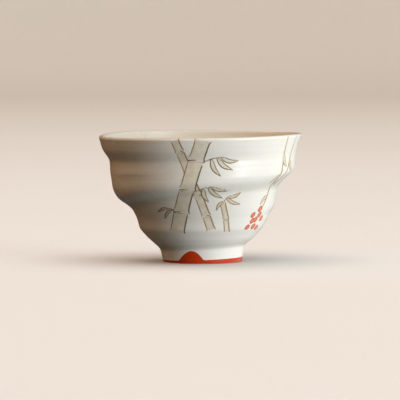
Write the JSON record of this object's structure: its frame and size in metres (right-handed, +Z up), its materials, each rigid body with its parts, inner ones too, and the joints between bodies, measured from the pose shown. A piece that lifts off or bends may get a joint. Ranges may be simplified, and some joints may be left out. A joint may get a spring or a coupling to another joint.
{
  "type": "sake cup",
  "caption": "Small thrown porcelain sake cup with a soft spiral step in its wall, a thin flared lip and a narrow turned foot ring with a red band.",
  "frame": {"origin": "on the table that the foot ring stands on, below the middle of the rim", "axes": "+Z up, out of the mouth; +X to the right and -Y towards someone who looks at the side with the drawing, as in the picture"},
  "size_m": [0.068, 0.068, 0.043],
  "materials": {
    "porcelain": "clear satin-gloss glaze over white porcelain, with fine sepia drawing, red accents and a red enamel band on the foot"
  },
  "bodies": {
    "root": {"cup": "porcelain"}
  },
  "joints": []
}
